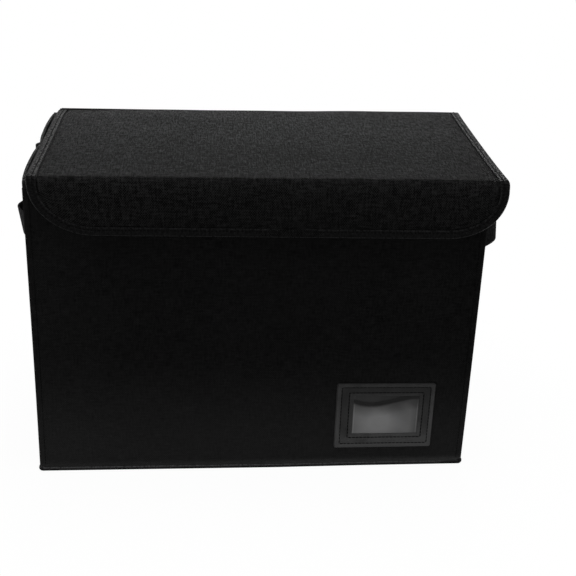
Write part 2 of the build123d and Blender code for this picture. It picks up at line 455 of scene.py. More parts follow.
ribLooks = {
    "edgeTape": {
        "rib": 1.5 * mm, "dark": 0.0006, "light": 0.0075, "depth": 0.9 * mm, "specular": 0.065,
        "matt": 0.95, "glossy": 0.4, "worn": True, "speckle": 3.2,
    },
    "rimBinding": {
        "rib": 1.5 * mm, "dark": 0.001, "light": 0.012, "depth": 0.5 * mm, "specular": 0.06,
        "matt": 0.95, "glossy": 0.5, "worn": False, "speckle": 3.2,
    },
    "seamPiping": {
        "rib": 1.5 * mm, "dark": 0.002, "light": 0.065, "depth": 0.3 * mm, "specular": 0.06,
        "matt": 0.9, "glossy": 0.6, "worn": True, "speckle": 1.6,
    },
    "leftWebbing": {
        "rib": 1.6 * mm, "dark": 0.002, "light": 0.013, "depth": 0.4 * mm, "specular": 0.04,
        "matt": 0.95, "glossy": 0.6, "worn": False, "speckle": 3.2,
    },
    # Darker copy of the same webbing for the right handle: painted shade, as that handle lies in shadow
    "rightWebbing": {
        "rib": 1.6 * mm, "dark": 0.001, "light": 0.005, "depth": 0.4 * mm, "specular": 0.02,
        "matt": 0.95, "glossy": 0.7, "worn": False, "speckle": 3.2,
    },
}


# Ribbed tape: ribs run across the length, and fine yarns along it break them into beads
def makeRibbed(name):
    look = ribLooks[name]
    tree, shader = newMaterial(name, {"Specular IOR Level": look["specular"]})
    uv = coords(tree, "UV")
    part = addNode(tree, "SeparateXYZ", {0: uv})
    rib = (part.output(1) * (2 * math.pi / look["rib"])).math("SINE")
    yarn = (part * (2 * math.pi / (0.75 * look["rib"]))).math("SINE")
    bead = rib * 0.2 + yarn * 0.1
    uneven = noise(tree, uv, 420.0, 2.0)
    tone = bead + (uneven - (0.5 - 0.51 / look["speckle"])) * look["speckle"]
    # Painted light and shade: the tone is scaled by the painted-light value of each point
    if look["worn"]:
        tone = tone * paintedLightOf(tree)
    light = look["light"]
    fill(shader, {
        "Base Color": ramp(tree, tone, (0.0, look["dark"]), (1.0, (light, light, light * 1.02))),
        "Roughness": mapped(tree, tone, {3: look["matt"], 4: look["glossy"]}),
        "Normal": bump(tree, bead + uneven * 0.8, look["depth"], 0.9),
    })


# Soft coated sheet of the label holder: fine pebbled grain
def makeGrained():
    tree, shader = newMaterial("labelGrain", {"Roughness": 0.5, "Specular IOR Level": 0.1})
    place = coords(tree, "Object")
    cells = dots(tree, place, 1500.0, feature="SMOOTH_F1")
    patches = noise(tree, place, 90.0, 4.0)
    # Painted light: the grain's tone is scaled by the painted-light value of each point
    tone = (cells * 0.5 + patches * 0.7) * paintedLightOf(tree)
    fill(shader, {
        "Base Color": ramp(tree, tone, (0.1, 0.0015), (1.0, (0.037, 0.037, 0.0372))),
        "Normal": bump(tree, cells + patches * 0.6, 0.12 * mm, 0.7),
    })


# Clear film over black: its painted-light value gives a painted reflection, lighter where the film throws
# back light
def makeFilm():
    tree, shader = newMaterial("clearFilm", {
        "Roughness": 0.25, "Specular IOR Level": 0.1, "Coat Weight": 0.04, "Coat Roughness": 0.15,
    })
    patches = noise(tree, coords(tree, "UV"), 60.0, 3.0)
    tone = paintedLightOf(tree) + (patches - 0.5) * 0.22
    fill(shader, {
        "Base Color": ramp(tree, tone, (0.0, 0.002), (0.45, 0.033), (1.0, (0.148, 0.148, 0.149))),
        "Normal": bump(tree, patches, 0.3 * mm, 0.25),
    })


# Speckled looks: sockets, scale, detail and colours of the speckle, and depth and strength of the relief
speckledLooks = {
    "greyBoard": (
        {"Roughness": 0.9}, 240.0, 6.0,
        ((0.3, (0.2, 0.18, 0.15)), (0.75, (0.36, 0.33, 0.28))), 0.2 * mm, 0.5,
    ),
    "blackThread": (
        {"Roughness": 0.85, "Specular IOR Level": 0.025}, 2500.0, 1.0,
        ((0.3, 0.0008), (0.8, 0.003)), 0.1 * mm, 0.6,
    ),
    "hookPile": (
        {"Roughness": 0.85, "Sheen Weight": 0.25}, 300.0, 2.0,
        ((0.3, 0.006), (0.8, (0.02, 0.02, 0.021))), 0.5 * mm, 1.0,
    ),
}


# The relief follows the speckle, but the pile of the hook and loop pads stands in close small points
def makeSpeckled(name):
    sockets, scale, detail, stops, depth, strength = speckledLooks[name]
    tree, shader = newMaterial(name, sockets)
    place = coords(tree, "Object")
    speckle = noise(tree, place, scale, detail)
    height = dots(tree, place, 900.0) if name == "hookPile" else speckle
    fill(shader, {"Base Color": ramp(tree, speckle, *stops), "Normal": bump(tree, height, depth, strength)})


for makeLook, looks in ((makeCloth, clothLooks), (makeRibbed, ribLooks), (makeSpeckled, speckledLooks)):
    for name in looks:
        makeLook(name)
makeGrained()
makeFilm()
print("materials made")


# Gives a piece its material and, unless it bends between two bodies, its body
def dress(obj, material, body=None, nodes=(), slot=None):
    obj.data.materials.append(bpy.data.materials[material])
    if body:
        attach(obj, body)
    if nodes:
        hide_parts(*nodes)


def sew(name, path, outward, body, *size):
    dress(stitchRow(name, path, outward, *size), "blackThread", body)


# Walls

wallShape = {
    "proud": 0.25 * mm,
    "cornerRadius": 1.6 * mm,
    "ripple": 0.25 * mm,
    "sideBow": 1.9 * mm,
    "sideBowFoot": 1.0 * mm,
    "bowArch": 0.6,
    "bowHump": 0.7,
    "bowStart": 26 * mm,
    "pinch": 0.6 * mm,
    "pinchReach": 5 * mm,
    "rimTuck": 1.6 * mm,
    "thinRim": 1.4 * mm,
    "thinFrom": 22 * mm,
    "coverIn": 0.5 * mm,
    "liningIn": 0.6 * mm,
    "liningT": 0.7 * mm,
    "liningEdge": 0.3 * mm,
}
sideEnd = sideHigh.y

# Each wall: the direction it runs in, the one it faces, its outer face, its ends, and 1 if it bows
walls = {
    "back": (-axisX, axisY, halfY, (-halfX, halfX), 0),
    "front": (axisX, -axisY, halfY, (-halfX, halfX), 0),
}
for side, sign in sides:
    walls[f"{side}_rear"] = (axisY, sign * axisX, halfX, (sideLow.y, sideEnd), 1)
    walls[f"{side}_front"] = (axisY, sign * axisX, halfX, (-sideEnd, -sideLow.y), 1)


# Outward bow of a side wall: a flat arch from corner to corner and a hump of a sine on each half, less lower
# down. It fades on a smooth step to nothing at the crease, where a bell curve pinches the wall in, so that
# both halves can fold flat
def sideBow(y, z):
    share = clamped((z - wallFoot) / (rimZ - wallFoot))
    size = wallShape["sideBowFoot"] + (wallShape["sideBow"] - wallShape["sideBowFoot"]) * share**1.5
    reach = clamped(np.abs(y) / sideEnd)
    arch = wallShape["bowArch"] * np.sqrt(np.cos(reach * quarter))
    hump = wallShape["bowHump"] * np.sin(math.pi * reach**1.4)
    away = smooth(clamped(np.abs(y) / wallShape["bowStart"]))
    return size * (arch + hump) * away - wallShape["pinch"] * bell(y, wallShape["pinchReach"])


def outwardOf(bows, along, z, seed):
    return sideBow(along, z) if bows else wallShape["ripple"] * ripple(along, z, seed)


# Thickness of a wall: a side wall is pressed thin by the tape at its rim, and on a smooth step it is full
# a little lower
def thicknessAt(bows, z):
    share = clamped((z - rimZ + wallShape["thinFrom"]) / (wallShape["thinFrom"] - tapeWidth))
    return wallT - (wallT - wallShape["thinRim"]) * smooth(share) * bows


# A wall's panel, and its lining on the inner face a little inside the panel's edges
def makeWall(name, seed):
    along, out, face, (low, high), bows = walls[name]
    foot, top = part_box(f"{name}_cover")[0].z, rimZ - wallShape["rimTuck"]
    inner = face - wallT
    # The side walls bow and the front leans, so their boards are inside the panel
    nodes = [f"{name}_cover"] + ([] if name == "back" else [f"{name}_board"])
    panel = ((inner + wallShape["coverIn"], face + wallShape["proud"]), 0, wallShape["cornerRadius"], 44, 48)
    lining = ((inner, inner + wallShape["liningT"]), wallShape["liningIn"], wallShape["liningEdge"], 30, 30)
    for piece, (depth, gap, edge, count, longCount), look in (
        ("Wall", panel, ("wallCloth", name, nodes, "cloth")),
        ("Lining", lining, ("innerCloth", name, [f"{name}_lining"], "lining")),
    ):
        ranges = ((low + gap, high - gap), depth, (foot + gap, top - gap))
        points = slab((along, out, axisZ), ranges, edge, count, longCount)
        # Where the wall is thin, its inner side is drawn outwards
        thin = 1 - thicknessAt(bows, points @ axisZ) / wallT
        shift = np.clip(face - points @ out, 0, None) * thin
        shift = shift + outwardOf(bows, points @ along, points @ axisZ, seed)
        dress(ringLoft(name + piece, points + shift[..., None] * out), *look)


tapeShape = {
    "thick": 0.75 * mm,
    "proud": 0.6 * mm,
    "roundSteps": 7,
    "stitchIn": 1.6 * mm,
    "stitchFromCrease": 26 * mm,
}


# U of tape over an edge: x inward from the edge, y deep from the outer face, for a panel of that thickness
def tapeProfile(width, panelT):
    proud, thick = tapeShape["proud"], tapeShape["thick"]
    turn = np.linspace(0, math.pi, tapeShape["roundSteps"])
    half = panelT / 2
    bend = half * 0.55
    outerArc, innerArc = [
        (bend - (bend + lift) * np.sin(turn), half - (half + lift) * np.cos(turn))
        for lift in (proud, proud - thick)
    ]
    near = ((width, -proud * 0.5), (width - 0.5 * mm, -proud), (width - 1.3 * mm, -proud))
    far = ((width - 0.5 * mm, panelT + proud), (width, panelT + proud * 0.5))
    inner = joined([(width, proud * 0.2), innerArc, (width, panelT - proud * 0.2)])[::-1]
    return np.concatenate([near, joined([outerArc]), far, inner])


def makeRimTape(name, seed):
    along, out, face, (low, high), bows = walls[name]
    reach = np.linspace(low, high, 60)
    face = face + outwardOf(bows, reach, rimZ - tapeWidth, seed)
    path = reach[:, None] * along + face[:, None] * out + (rimZ - tapeShape["proud"]) * axisZ
    profile = tapeProfile(tapeWidth, thicknessAt(bows, rimZ))
    tape = carried(f"{name}RimTape", path, -axisZ, -out, profile)
    dress(tape, "rimBinding", name, [f"{name}_rim_tape"], "edge_tape")
    thread = path - (tapeWidth - tapeShape["stitchIn"]) * axisZ + tapeShape["proud"] * out
    sew(f"{name}RimStitches", thread[np.abs(reach) > tapeShape["stitchFromCrease"] * bows], out, name)


for number, name in enumerate(walls):
    makeWall(name, number)
    makeRimTape(name, number)
print("walls made")

# Cloth over the vertical corners and the creases

cornerShape = {
    "radius": 2.4 * mm,
    "frontReach": 4.6 * mm,
    "sideReach": 13 * mm,
    "thick": 0.7 * mm,
    "proud": 0.75 * mm,
    "ridge": 0.4 * mm,
    "ridgeReach": 1.3 * mm,
    "creaseReach": 7 * mm,
    "creaseProud": (0.6 * mm, -0.1 * mm),
    "creaseDip": 1.3 * mm,
    "dipReach": 1.1 * mm,
    "stitch": (3.0 * mm, 2.4 * mm, 1.1 * mm),
    "nubIn": 1.4 * mm,
    "nubRise": 0.4 * mm,
    "nubOut": 5.2 * mm,
    "nubHalf": 3.6 * mm,
    "nubRound": 2.4 * mm,
}
stripLevels = np.linspace(wallFoot + 0.2 * mm, rimZ - tapeWidth + 1.5 * mm, 40)[:, None]


# Strip seen from above as an L round a corner: along the end wall, round the corner, along the side wall
def cornerLine(signX, signY, proud):
    radius = cornerShape["radius"]
    turn = np.linspace(0, quarter, 8)[1:]
    innerX, innerY = halfX + proud - radius, halfY + proud - radius
    x, y = joined([
        (np.linspace(halfX - cornerShape["frontReach"], innerX, 9), halfY + proud),
        (innerX + radius * np.sin(turn), innerY + radius * np.cos(turn)),
        (halfX + proud, np.linspace(innerY, halfY - cornerShape["sideReach"], 17)[1:]),
    ]).T
    return signX * x, signY * y


def stripBetween(name, signX, signY, keep):
    faces = []
    for proud in (cornerShape["proud"], cornerShape["proud"] - cornerShape["thick"]):
        x, y = (line[keep] for line in cornerLine(signX, signY, proud))
        middle = halfX - cornerShape["frontReach"] / 2
        ridge = cornerShape["ridge"] * bell(np.abs(x) - middle, cornerShape["ridgeReach"])
        y = y + signY * ridge * (np.abs(y) > halfY)
        onSide = clamped((sideEnd - np.abs(y)) / (2 * mm))
        faces.append(xyz(x + signX * sideBow(y, stripLevels) * onSide, y, stripLevels))
    return sheetShell(name, *faces)


def makeCorner(name, endBody, sideBody, signX, signY):
    if name != "frontRightCorner":
        strip = stripBetween(name, signX, signY, slice(None))
        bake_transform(strip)
        dress(strip, "wallCloth", slot="cloth")
    else:
        # The open pivot of the fold: each wall keeps its own part of the strip
        _, y = cornerLine(signX, signY, cornerShape["proud"])
        atEnd = np.abs(y) > halfY - wallT + 0.1 * mm
        for part, keep, body in (("End", atEnd, endBody), ("Side", ~atEnd, sideBody)):
            dress(stripBetween(name + part, signX, signY, keep), "wallCloth", body, slot="cloth")
    z = np.linspace(wallFoot + 1 * mm, rimZ - tapeWidth, 80)
    line = xyz(signX * (halfX - cornerShape["frontReach"]), signY * (halfY + wallShape["proud"]), z)
    sew(name + "Stitches", line, signY * axisY, endBody, *cornerShape["stitch"])


for end, place, signY in (("back", "rear", 1), ("front", "front", -1)):
    for side, signX in sides:
        makeCorner(f"{end}{side.title()}Corner", end, f"{side}_{place}", signX, signY)


# Cloth across the crease of a side wall, pressed in along its middle
def makeCrease(side, sign):
    y = np.linspace(-cornerShape["creaseReach"], cornerShape["creaseReach"], 25)
    face = halfX + sideBow(y, stripLevels) - cornerShape["creaseDip"] * bell(y, cornerShape["dipReach"])
    faces = [xyz(sign * (face + proud), y, stripLevels) for proud in cornerShape["creaseProud"]]
    strip = sheetShell(f"{side}CreaseCloth", *faces)
    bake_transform(strip)
    dress(strip, "wallCloth", slot="cloth")


# Fold of rim tape that stands out where a side wall is creased
def makeCreaseNub(side, sign):
    edge = cornerShape["nubRound"]
    levels = levelsWithEdges(rimZ - tapeWidth, rimZ + cornerShape["nubRise"], edge, 8)[:, None]
    turn = np.linspace(0, 2 * math.pi, 24, endpoint=False)
    near = np.minimum(levels - levels[0], levels[-1] - levels)
    size = np.sqrt(np.clip(1 - clamped(1 - near / edge) ** 2, 0.1, 1))
    x = halfX - cornerShape["nubIn"] + cornerShape["nubOut"] * size * np.clip(np.cos(turn), -0.2, 1)
    nub = ringLoft(f"{side}CreaseNub", xyz(sign * x, cornerShape["nubHalf"] * size * np.sin(turn), levels))
    sign * (halfX - 1 * mm)
    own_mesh(nub)
    paint(nub, 0.8)
    dress(nub, "edgeTape", f"{side}_rear", slot="edge_tape")


for makePiece in (makeCrease, makeCreaseNub):
    for side, sign in sides:
        makePiece(side, sign)
print("corners made")

# Lid and flap

lidShape = {
    "turn": (-0.8 * mm, 1.7 * mm),
    "narrow": 0.006,
    "flare": 3.0 * mm,
    "flareReach": 0.25,
    "skew": 3.4 * mm,
    "skewNarrow": 0.8 * mm,
    "cornerPush": (1.2 * mm, 2.5 * mm),
    "pushReach": 60 * mm,
    "footLift": 0.8 * mm,
    "footTilt": 0.6 * mm,
    "creaseRadius": 4.4 * mm,
    "seamDip": 1.4 * mm,
    "seamReach": 1.0 * mm,
    "seamGap": 0.6 * mm,
    "seamStart": 1 * mm,
    "seamFade": 5 * mm,
    "seamAtFoot": 0.45,
    "footBand": 20 * mm,
    "cornerX": 52 * mm,
    "cornerZ": 44 * mm,
    "crown": 0.42 * mm,
    "ripple": 0.45 * mm,
    "backSag": 1.1 * mm,
    "backTilt": 1.7 * mm,
    "sagReach": 22 * mm,
    "backRadius": 2.2 * mm,
    "backProud": 0.6 * mm,
    "denseReach": 13 * mm,
    "clothT": 0.9 * mm,
    "edgeIn": 0.8 * mm,
    "tapeWidth": 7.7 * mm,
    "tapeEndReach": 5 * mm,
    "tapeEndDip": 1.2 * mm,
    "stitchIn": 2.5 * mm,
    "stitchThick": 0.95 * mm,
}
# Painted light of the tape round its profile, from the inner edge of its outer side over the rim: a painted
# sheen on the lid, and on the flap a painted highlight over the rim with painted shade just inside it
tapePaintedLight = {
    "lid": [1.2, 1.2, 1.15, 0.9, 0.9, 0.9, 0.9],
    "flap": [1.1, 1.1, 0.4, 0.3, 3.3, 3.3, 1.3],
    "hidden": 0.9,
}
# Painted light and shade on the cloth: across in shares of the half width, towards the back edge, and down
# in millimetres
clothPaintedLight = {
    "across": ([-1, -0.75, -0.4, 0.4, 0.9], [1.3, 1.25, 1, 1, 1.1]),
    "back": ([0, 0.15, 0.3, 0.5, 0.65, 0.85, 1], [1, 1.03, 1.0, 1.17, 1.3, 1.3, 1.47]),
    "down": (
        [0, 0.4, 1.5, 5, 8, 10.5, 13, 16, 20, 27, 33, 41, 48],
        [0.84, 1.1, 2.1, 2.3, 1.95, 1.6, 1.3, 1.19, 1.1, 1.04, 0.94, 0.86, 0.83],
    ),
}
crease = lidShape["creaseRadius"]
creaseBack = flapFace + crease


# The crease between lid and flap: y and z of its arc, and y and z of the direction into the lid
def creaseArc(turn):
    sine, cosine = np.sin(turn), np.cos(turn)
    return creaseBack - crease * sine, lidTop - crease + crease * cosine, sine, -cosine


# Lower edge of the flap: a quarter ellipse at each side and straight between
def flapEdge(x, inset=0.0):
    radiusX = lidShape["cornerX"] - inset
    radiusZ = lidShape["cornerZ"] - inset
    past = clamped((np.abs(x) - (lidHalf - lidShape["cornerX"])) / radiusX)
    return flapFoot + inset + radiusZ * (1 - np.sqrt(1 - past**2))


# The lid lies a little turned on the box and narrows to the front, but its right end flares out again
# towards the crease. The flap hangs askew, further right and a little higher at its foot, and its lower
# right corner is fuller
def turned(points):
    x, y, z = np.moveaxis(points, -1, 0)
    share = clamped((y - flapFace) / (halfY - flapFace))
    front, back = lidShape["turn"]
    shift = lidMid + front + (back - front) * share - x * lidShape["narrow"] * (1 - share)
    shift = shift + lidShape["flare"] * clamped(x / lidHalf) ** 3 * np.exp(-share / lidShape["flareReach"])
    onFlap = share < 0.1
    hang = clamped((lidTop - z) / (lidTop - flapFoot)) * onFlap
    shift = shift + hang * (lidShape["skew"] - lidShape["skewNarrow"] * x / lidHalf)
    toRight = clamped((x - lidHalf) / lidShape["pushReach"] + 1)
    toFoot = clamped((flapFoot - z) / lidShape["pushReach"] + 1) * onFlap
    push = (toRight * toFoot) ** 2
    right, down = lidShape["cornerPush"]
    lift = hang * (lidShape["footLift"] - lidShape["footTilt"] * x / lidHalf) - push * down
    return points + (shift + push * right)[..., None] * axisX + lift[..., None] * axisZ


# Sag of the lid's top towards its back edge, on a bell curve that is deeper at the left
def backDrop(x, y):
    size = lidShape["backSag"] - lidShape["backTilt"] * x / lidHalf
    return size * bell(y - halfY, lidShape["sagReach"])


# Cloth from the back edge over the front crease and down to the flap's edge, sunk along the tape's seam
def makeLidCloth():
    edgeIn, backR = lidShape["edgeIn"], lidShape["backRadius"]
    side = lidHalf - edgeIn
    dense = np.linspace(side - lidShape["denseReach"], side, 22)
    x = np.concatenate([-dense[::-1], np.linspace(-dense[0], dense[0], 72)[1:-1], dense])
    backTurn = np.linspace(quarter, 0, 7)[:-1]
    sine, cosine = np.sin(backTurn), np.cos(backTurn)
    topY = np.linspace(halfY + lidShape["backProud"] - backR, creaseBack, 60)
    down = np.concatenate([np.linspace(0, 0.72, 16)[1:], np.linspace(0.72, 1, 20)[1:]])[:, None]
    # Each stretch: y and z of the line, and y and z of the direction into the lid
    y, z, deepY, deepZ = joined([
        (topY[0] + backR * sine, lidTop - backR + backR * cosine, -sine, -cosine),
        (topY, lidTop, 0, -1),
        creaseArc(np.linspace(0, quarter, 9)[1:]),
        (flapFace + 0 * down[:, 0], 0, 1, 0),
    ]).T[..., None]
    gridX, gridY, gridZ = np.moveaxis(xyz(x, y, z), -1, 0).copy()
    flapTop = lidTop - crease
    gridZ[-len(down):] = flapTop - down * (flapTop - flapEdge(x, edgeIn))
    inside = 1 - clamped(np.abs(gridX) / lidHalf) ** 6
    rise = lidShape["crown"] * inside + lidShape["ripple"] * inside * ripple(gridX, gridY + gridZ, 4)
    fromSide = lidHalf - np.abs(gridX)
    fromFoot = np.where(gridY < flapFace + 0.1 * mm, gridZ - flapEdge(gridX), 1.0)
    fromEdge = np.minimum(fromSide, fromFoot) - lidShape["tapeWidth"] - lidShape["seamGap"]
    seam = lidShape["seamDip"] * bell(fromEdge, lidShape["seamReach"])
    seam = seam * clamped((halfY - gridY - lidShape["seamStart"]) / lidShape["seamFade"])
    atFoot = clamped((fromSide - fromFoot) / lidShape["footBand"] + 0.5)
    seam = seam * (1 - (1 - lidShape["seamAtFoot"]) * atFoot)
    lift = rise - backDrop(gridX, gridY) * np.abs(deepZ) - seam
    outer = turned(xyz(gridX, gridY - lift * deepY, gridZ - lift * deepZ))
    cloth = sheetShell("lidAndFlapCloth", outer, outer + lidShape["clothT"] * xyz(0, deepY, deepZ))
    # Painted light below the crease, at the back edge and towards the left, and painted shade further down
    # the flap
    wear = np.interp(gridX / lidHalf, *clothPaintedLight["across"])
    wear = wear * np.interp((gridY - flapFace) / (halfY - flapFace), *clothPaintedLight["back"])
    wear = wear * np.interp((lidTop - gridZ) / mm, *clothPaintedLight["down"])
    paint(cloth, np.tile(wear.ravel(), 2))
    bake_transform(cloth)
    dress(cloth, "linenCloth", nodes=["lid_cover", "flap_cover"], slot="cloth")


# Path of the edge tape: the lid's left edge to the front, down round the flap and back along the right.
# Its table holds the path, the inward and the depth direction, the panel's thickness, and 1 on the flap
def tapePath():
    cornerX, cornerZ = lidShape["cornerX"], lidShape["cornerZ"]
    endReach = lidShape["tapeEndReach"]
    backEnd = halfY - endReach
    topY = np.concatenate([np.linspace(halfY, backEnd, 6)[:-1], np.linspace(backEnd, creaseBack, 46)])
    backDip = lidShape["tapeEndDip"] * clamped(1 - (halfY - topY) / endReach) ** 2
    turn = np.linspace(0, quarter, 10)[1:]
    bend = np.linspace(0, quarter, 30)[1:]
    cornerTop = flapFoot + cornerZ
    ellipse = unit(xyz(np.cos(bend) / cornerX, 0, np.sin(bend) / cornerZ)).T
    creaseY, creaseZ, deepY, deepZ = creaseArc(turn)
    toFlap = np.linspace(lidT, flapT, len(turn))
    table = joined([
        (-lidHalf, topY, lidTop - backDip, 1, 0, 0, 0, 0, -1, lidT, 0),
        (-lidHalf, creaseY, creaseZ, 1, 0, 0, 0, deepY, deepZ, toFlap, turn / quarter),
        (-lidHalf, flapFace, np.linspace(lidTop - crease, cornerTop, 4)[1:], 1, 0, 0, 0, 1, 0, flapT, 1),
        (-lidHalf + cornerX * (1 - np.cos(bend)), flapFace, cornerTop - cornerZ * np.sin(bend),
         *ellipse, 0, 1, 0, flapT, 1),
        (np.linspace(-lidHalf + cornerX, 0, 40)[1:], flapFace, flapFoot, 0, 0, 1, 0, 1, 0, flapT, 1),
    ])
    mirror = np.array([-1, 1, 1] * 3 + [1, 1])
    table = np.concatenate([table, (table * mirror)[-2::-1]])
    path, inward, deep, (thick, onFlap) = table[:, :3], table[:, 3:6], table[:, 6:9], table[:, 9:].T
    path[:, 2] -= backDrop(path[:, 0], path[:, 1])
    path = turned(path)
    drop = backDrop(np.sign(path[:, 0]) * lidHalf, path[:, 1])
    return path, inward, deep, thick - tapeShape["proud"] - drop, onFlap


def makeLidTape():
    path, inward, deep, thick, onFlap = tapePath()
    profiles = np.stack([tapeProfile(lidShape["tapeWidth"], t) for t in thick])
    tape = carried("lidAndFlapTape", path, inward, deep, profiles)
    # Painted light: on the flap only the rim of the tape and its inner edge are lit, with painted shade
    # between; on the lid a painted sheen
    hidden = [tapePaintedLight["hidden"]] * (profiles.shape[1] - len(tapePaintedLight["flap"]))
    share = onFlap[:, None]
    paint(tape, share * (tapePaintedLight["flap"] + hidden) + (1 - share) * (tapePaintedLight["lid"] + hidden))
    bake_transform(tape)
    dress(tape, "edgeTape", nodes=["lid_edge_tape", "flap_edge_tape"], slot="edge_tape")
    line = path + (lidShape["tapeWidth"] - lidShape["stitchIn"]) * inward - tapeShape["proud"] * deep
    stitches = stitchRow("lidTapeStitches0", line, -deep, thick=lidShape["stitchThick"])
    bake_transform(stitches)
    dress(stitches, "blackThread")


# Sheet behind the flap's face between two depths, following its rounded lower corners
def flapSheet(name, nearY, farY, top, inset):
    x = np.sin(np.linspace(-1, 1, 70) * quarter) * (lidHalf - inset)
    z = top - np.linspace(0, 1, 24)[:, None] * (top - flapEdge(x, inset))
    return sheetShell(name, *[turned(xyz(x, y, z)) for y in (farY, nearY)])


# Slab under the lid between two heights. Its upper side follows a share of the sag at the back
def lidSheet(name, low, high, front, inset, backInset, drop):
    ranges = ((-lidHalf + inset, lidHalf - inset), (low, high), (front, halfY - backInset))
    points = slab(lying, ranges, 0.3 * mm, 40, 50)
    upper = points[..., 2] > (low + high) / 2
    points[..., 2] -= drop * backDrop(points[..., 0], points[..., 1]) * upper
    return ringLoft(name, turned(points))


# Linings and boards of the lid and the flap
def makeLidInsides():
    under = lidTop - lidT
    back = flapFace + flapT
    flapUp = under - 0.4 * mm
    lidLining = (under + 0.3 * mm, under + 0.9 * mm, back + 0.6 * mm, 0.6 * mm, 0.6 * mm, 0)
    lidBoard = (under + 1.0 * mm, lidTop - 2.0 * mm, back + 2 * mm, 2 * mm, 12 * mm, 1)
    flapLining = (back - 0.9 * mm, back - 0.3 * mm, flapUp, 0.6 * mm)
    flapBoard = (flapFace + 1.9 * mm, back - 1.0 * mm, flapUp, 2 * mm)
    for body, makeSheet, lining, board in (
        ("lid", lidSheet, lidLining, lidBoard),
        ("flap", flapSheet, flapLining, flapBoard),
    ):
        dress(makeSheet(f"{body}LiningCloth", *lining), "innerCloth", body, [f"{body}_lining"], "lining")
        dress(makeSheet(f"{body}BoardCore", *board), "greyBoard", body, [f"{body}_board"], "board")


makeLidCloth()
makeLidTape()
makeLidInsides()
print("lid made")

# Cloth hinge at the back of the lid

hingeShape = {
    "thick": 0.7 * mm,
    "endIn": 3.5 * mm,
    "topIn": 1.6 * mm,
    "ripple": 0.15 * mm,
    "out": 0.9 * mm,
    "stitchUp": 3 * mm,
}


def makeHingeCloth():
    low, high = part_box("lid_hinge_cloth")
    face = halfY + hingeShape["out"]
    x = np.linspace(low.x + hingeShape["endIn"], high.x - hingeShape["endIn"], 70)
    z = np.linspace(low.z, lidTop - hingeShape["topIn"], 30)
    y = face + hingeShape["ripple"] * ripple(x, z[:, None], 2)
    faces = [xyz(x, y - depth, z[:, None]) for depth in (0, hingeShape["thick"])]
    cloth = sheetShell("lidHingeCloth", *faces)
    paint(cloth, 1.0)
    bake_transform(cloth)
    dress(cloth, "linenCloth", nodes=["lid_hinge_cloth"], slot="cloth")
    sew("hingeStitches", xyz(x, face, low.z + hingeShape["stitchUp"]), axisY, "back")


makeHingeCloth()

# Bottom: cloth, skirt with its bound seam, and the base board. The seam and the skirt have closed profiles,
# with each place outward and up in millimetres

bottomShape = {
    "corner": 3.5 * mm,
    "seamLump": 0.8,
    "skirtLump": 0.3,
    "darkEnd": ([14 * mm, 24 * mm], [0.3, 1.0]),
    "keep": 0.236,
    "clothIn": 1 * mm,
    "clothT": 1.2 * mm,
    "clothEdge": 0.5 * mm,
    "baseEdge": 1.5 * mm,
    "seam": [
        (-1.4, 0.5), (0.1, 0.05), (0.9, 0.3), (1.3, 1.0), (1.35, 2.0), (1.1, 3.0), (0.6, 3.6), (-0.2, 3.7),
        (-1.2, 2.6),
    ],
    # Painted light and shade round the seam's profile: a lit line on its upper outer side, dark above and
    # below it
    "seamWear": np.array([0.1, 0.1, 0.05, 0.1, 0.2, 0.8, 1.7, 0.2, 0.1]),
    "skirt": [(0.1, 3.0), (0.4, 3.6), (0.5, 5.0), (0.5, 6.6), (0.35, 7.3), (-0.1, 7.3), (-0.2, 5.0)],
}


# Loop round a rounded rectangle seen from above, with its outward direction
def roundedLoop(halfA, halfB, radius, longSteps=70, shortSteps=40, turnSteps=6):
    a, b, turnA, turnB = ringShares(longSteps, shortSteps, turnSteps).T
    path = xyz(a * (halfA - radius) + turnA * radius, b * (halfB - radius) + turnB * radius, 0)
    return path, xyz(turnA, turnB, 0)


def makeBottom():
    path, outward = roundedLoop(halfX, halfY, bottomShape["corner"])
    for kind, material, nodes, slot in (
        ("seam", "seamPiping", ["bottom_binding"], "edge_tape"),
        ("skirt", "wallCloth", [], "cloth"),
    ):
        # The corners are gathered into small lumps
        size = 1 + bottomShape[f"{kind}Lump"] * np.abs(2 * outward[:, 0] * outward[:, 1])
        profile = np.array(bottomShape[kind]) * mm * size[:, None, None]
        band = carried(f"bottom{kind.title()}", path, outward, axisZ, profile, loop=True)
        if kind == "seam":
            # Painted light and shade along the seam, and the seam darker before the right-hand corners
            worn = np.interp(halfX - path[:, 0], *bottomShape["darkEnd"])
            paint(band, worn[:, None] * bottomShape["seamWear"])
        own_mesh(band)
        dress(band, material, "back", nodes, slot)

    reachX, reachY = halfX - bottomShape["clothIn"], halfY - bottomShape["clothIn"]
    ranges = ((-reachX, reachX), (0.0, bottomShape["clothT"]), (-reachY, reachY))
    cloth = ringLoft("bottomCloth", slab(lying, ranges, bottomShape["clothEdge"], 30, 50))
    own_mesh(cloth)
    dress(cloth, "wallCloth", "back", ["bottom_cover"], "cloth")

    ranges = ((baseLow.x, baseHigh.x), (baseLow.z, baseHigh.z), (baseLow.y, baseHigh.y))
    base = ringLoft("baseBoardCloth", slab(lying, ranges, bottomShape["baseEdge"], 30, 50))
    dress(base, "innerCloth", "base", ["base_cover", "base_board"], "lining")


makeBottom()
print("bottom made")

# Label holder

